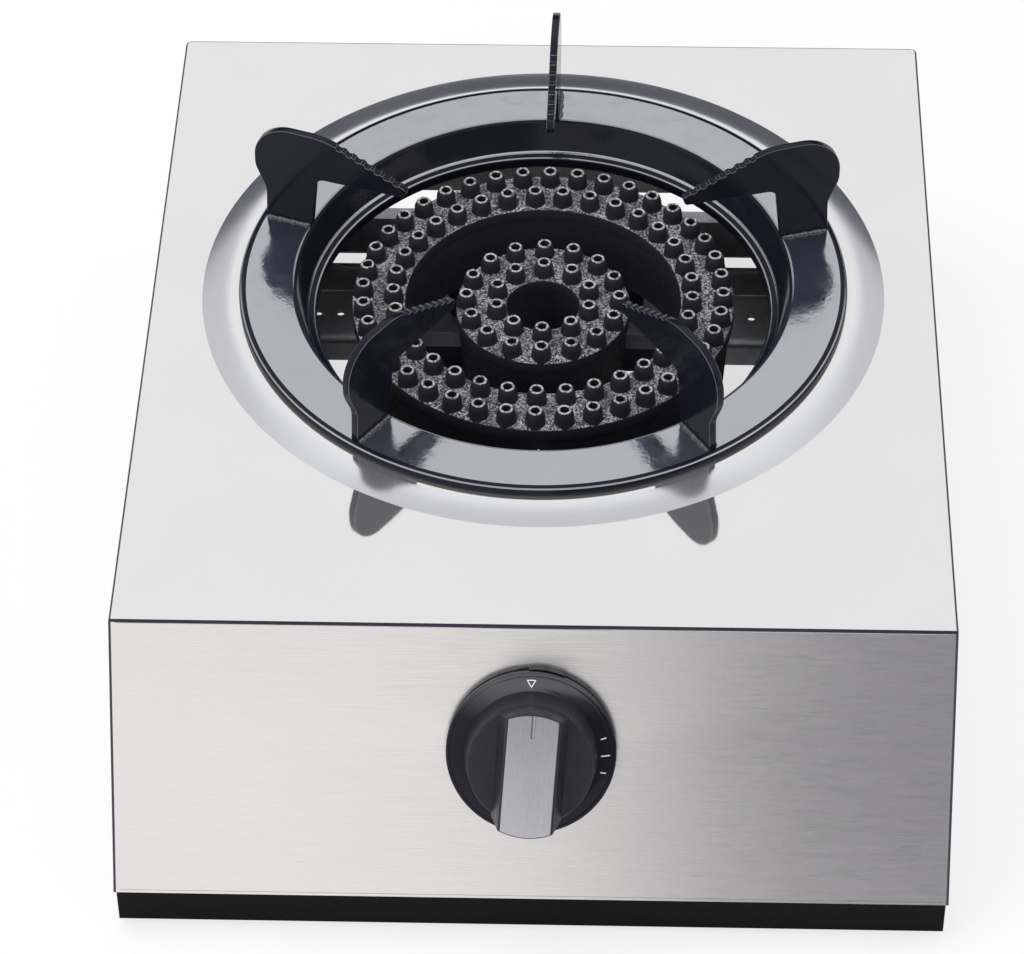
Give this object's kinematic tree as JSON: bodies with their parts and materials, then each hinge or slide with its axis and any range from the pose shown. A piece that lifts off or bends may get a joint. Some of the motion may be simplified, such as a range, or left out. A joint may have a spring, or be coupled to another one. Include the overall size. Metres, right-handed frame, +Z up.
{
  "type": "table-top gas stove",
  "caption": "Table-top gas stove with a steel casing, a slanted front with a push-and-turn knob, a cast double-ring burner and a black pan ring with prongs.",
  "frame": {"origin": "centre of the bounding box on the plane the feet stand on", "axes": "+X to the right as the user faces the knob, +Y from the user towards the back, +Z up"},
  "size_m": [0.3024, 0.414, 0.1568],
  "materials": {
    "top_steel": "polished stainless sheet",
    "panel_steel": "fine brushed stainless sheet",
    "casing_steel": "satin stainless sheet",
    "zinc_sheet": "galvanised sheet",
    "black_paint": "satin black paint",
    "screw_steel": "zinc-plated steel",
    "enamel": "gloss black enamel",
    "burner_iron": "coarse black cast iron",
    "tube_iron": "as cast",
    "shutter_steel": "plain steel sheet",
    "brass": "machined",
    "valve_aluminium": "die cast",
    "pipe_aluminium": "drawn tube",
    "spring_steel": "spring wire",
    "feet_rubber": "matt",
    "ceramic": "glazed ceramic with a steel pin",
    "igniter_plastic": "moulded",
    "wire_rubber": "silicone lead",
    "bezel_plastic": "dark grey moulding",
    "skirt_plastic": "gloss black moulding",
    "grip_plastic": "dark grey moulding",
    "bar_metal": "satin plated bar"
  },
  "bodies": {
    "stove": {"top_cover": "top_steel", "front_panel": "panel_steel", "side_panel_left": "casing_steel", "side_panel_right": "casing_steel", "back_panel": "zinc_sheet", "plinth": "black_paint", "rear_rail": "zinc_sheet", "rear_bracket": "zinc_sheet", "front_bracket": "zinc_sheet", "foot_front_left": "feet_rubber", "foot_front_right": "feet_rubber", "foot_rear_left": "feet_rubber", "foot_rear_right": "feet_rubber", "cover_screws": "screw_steel", "side_screws": "screw_steel", "back_screws": "screw_steel", "burner_screws": "screw_steel", "valve_screws": "screw_steel", "burner_body": "burner_iron", "mixing_tube_outer": "tube_iron", "mixing_tube_inner": "tube_iron", "injector_outer": "brass", "injector_inner": "brass", "valve_body": "valve_aluminium", "valve_cap": "valve_aluminium", "valve_bracket": "zinc_sheet", "gas_pipe": "pipe_aluminium", "pipe_nut_front": "brass", "pipe_nut_rear": "brass", "hose_nozzle": "brass", "nozzle_nut": "brass", "piezo_igniter": "igniter_plastic", "spark_electrode": "ceramic", "electrode_clip": "shutter_steel", "ignition_wire": "wire_rubber", "knob_bezel": "bezel_plastic"},
    "plug": {"valve_plug": "brass", "stem_spring": "spring_steel"},
    "knob": {"valve_stem": "brass", "knob_skirt": "skirt_plastic", "knob_grip": "grip_plastic", "knob_bar": "bar_metal"},
    "pan_support": {"pan_ring": "enamel", "prong_1": "enamel", "prong_2": "enamel", "prong_3": "enamel", "prong_4": "enamel", "prong_5": "enamel"},
    "outer_ring": {"outer_burner_ring": "burner_iron"},
    "inner_cap": {"inner_burner_cap": "burner_iron"},
    "shutter_outer": {"air_shutter_outer": "shutter_steel"},
    "shutter_inner": {"air_shutter_inner": "shutter_steel"}
  },
  "joints": [
    {"name": "knob_turn", "type": "hinge", "parent": "stove", "child": "plug", "pos_m": [0, -0.16896, 0.06744], "axis": [0, -0.8731, 0.4875], "range_deg": [0, 90]},
    {"name": "knob_push", "type": "slide", "parent": "plug", "child": "knob", "axis": [0, 0.8731, -0.4875], "range_m": [0, 0.0025], "stiffness_N_per_m": 1500, "springref_m": -0.002, "deforming": ["stem_spring"]},
    {"name": "pan_support_lift", "type": "slide", "parent": "stove", "child": "pan_support", "axis": [0, 0, 1], "range_m": [0, 0.08]},
    {"name": "outer_ring_lift", "type": "slide", "parent": "stove", "child": "outer_ring", "axis": [0, 0, 1], "range_m": [0, 0.024]},
    {"name": "inner_cap_lift", "type": "slide", "parent": "stove", "child": "inner_cap", "axis": [0, 0, 1], "range_m": [0, 0.06]},
    {"name": "shutter_outer_turn", "type": "hinge", "parent": "stove", "child": "shutter_outer", "pos_m": [0.024, -0.09853, 0.0476], "axis": [0, 1, 0], "range_deg": [0, 45]},
    {"name": "shutter_inner_turn", "type": "hinge", "parent": "stove", "child": "shutter_inner", "pos_m": [-0.024, -0.09853, 0.0476], "axis": [0, 1, 0], "range_deg": [0, 45]}
  ]
}
